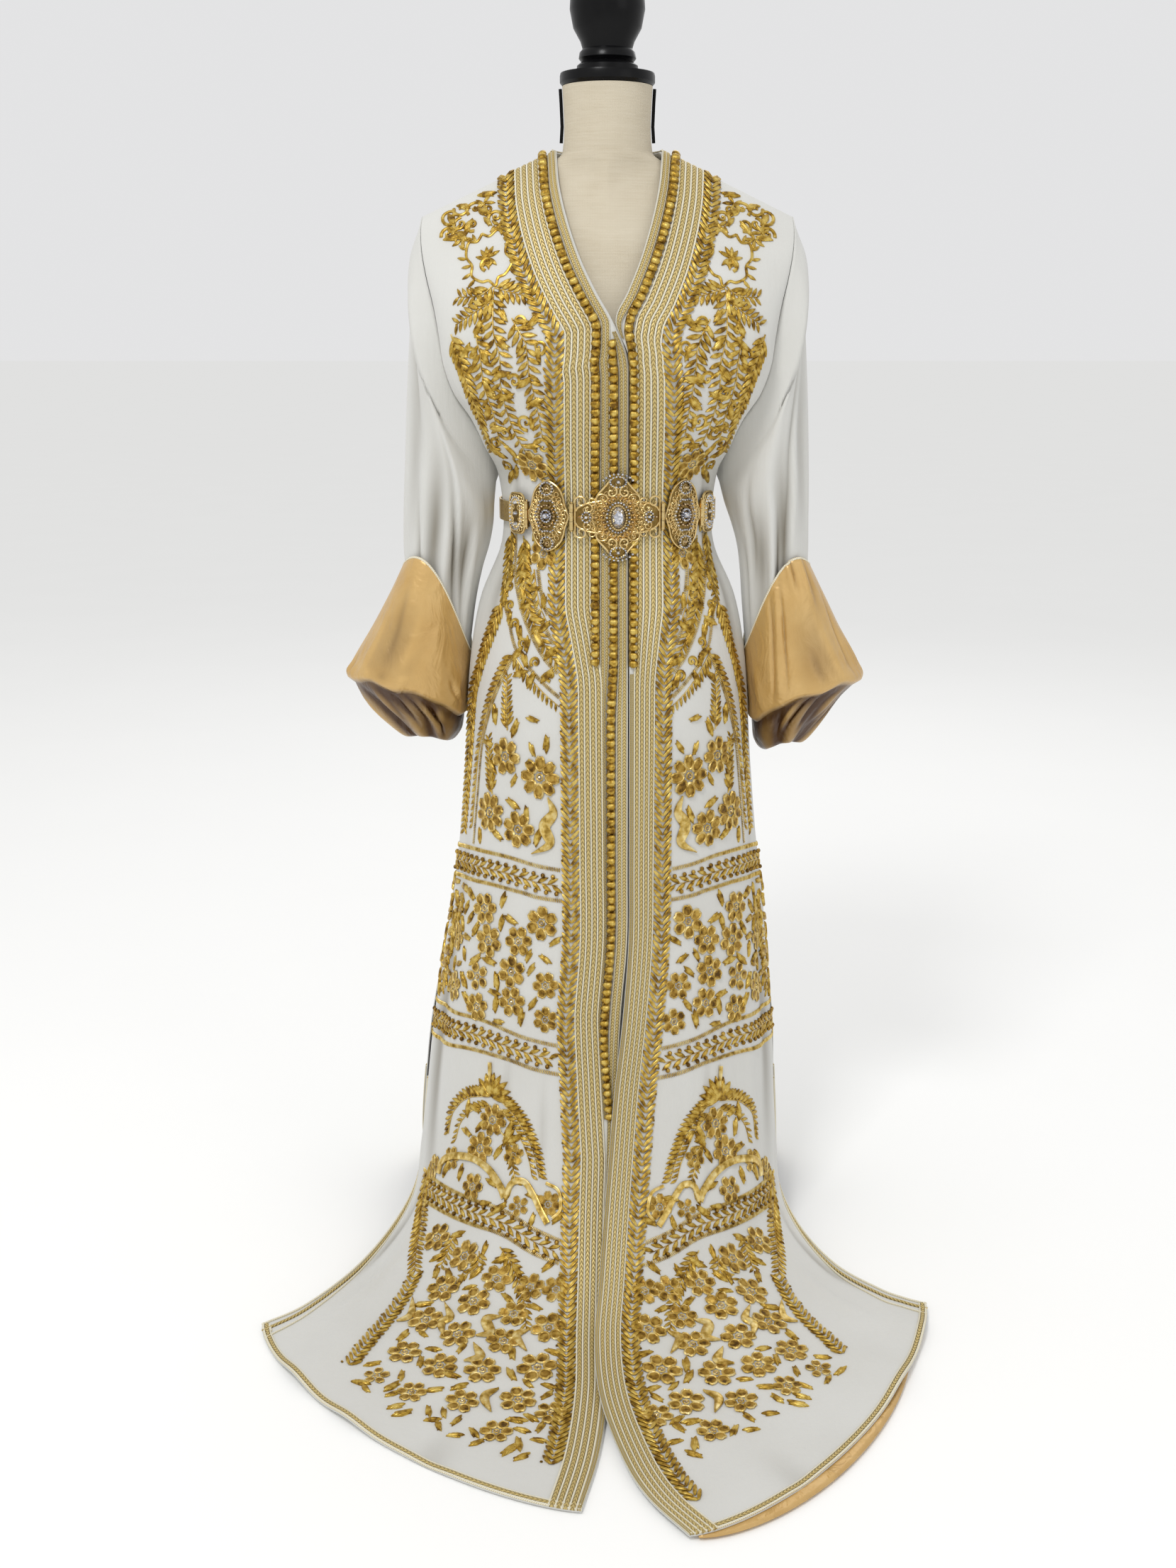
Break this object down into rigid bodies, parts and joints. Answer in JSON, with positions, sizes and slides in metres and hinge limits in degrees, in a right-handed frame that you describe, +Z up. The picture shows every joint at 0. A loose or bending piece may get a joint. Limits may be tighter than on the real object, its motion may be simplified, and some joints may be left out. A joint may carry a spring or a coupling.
{
  "type": "kaftan on dress form",
  "caption": "Long open-front kaftan with braid bands, gold embroidery, turned-back satin cuffs and a metal belt, worn by a limbless dress form.",
  "frame": {"origin": "centre of the round base's underside, on the floor", "axes": "+Z up, -Y the way the front faces, +X to the right of someone who looks at the front"},
  "size_m": [0.778, 1.213, 1.546],
  "materials": {
    "ivory_crepe": "matte crepe with a soft drape",
    "gold_satin": "satin with a broad sheen",
    "gold_braid": "woven metallic thread",
    "gold_thread": "raised metallic embroidery",
    "belt_metal": "gilt, polished, with pierced filigree",
    "crystal": "cut clear stones",
    "form_linen": "plain woven linen",
    "black_lacquer": "turned wood, satin black lacquer",
    "black_cord": "twisted cord",
    "black_steel": "satin black paint"
  },
  "bodies": {
    "root": {"front_left": "ivory_crepe", "front_right": "ivory_crepe", "back": "ivory_crepe", "sleeve_left": "ivory_crepe", "sleeve_right": "ivory_crepe", "cuff_left": "gold_satin", "cuff_right": "gold_satin", "lining_edge_right": "gold_satin", "braid_band_left": "gold_braid", "braid_band_right": "gold_braid", "braid_band_neck": "gold_braid", "belt_centre": "belt_metal", "belt_side_left": "belt_metal", "belt_side_right": "belt_metal", "belt_end_left": "belt_metal", "belt_end_right": "belt_metal", "belt_hinge_inner_left": "belt_metal", "belt_hinge_inner_right": "belt_metal", "belt_hinge_outer_left": "belt_metal", "belt_hinge_outer_right": "belt_metal", "belt_strap_back": "belt_metal", "form_torso": "form_linen", "form_cap": "black_lacquer", "form_piping_left": "black_cord", "form_piping_right": "black_cord", "form_pole": "black_steel", "form_base": "black_steel"}
  },
  "joints": []
}
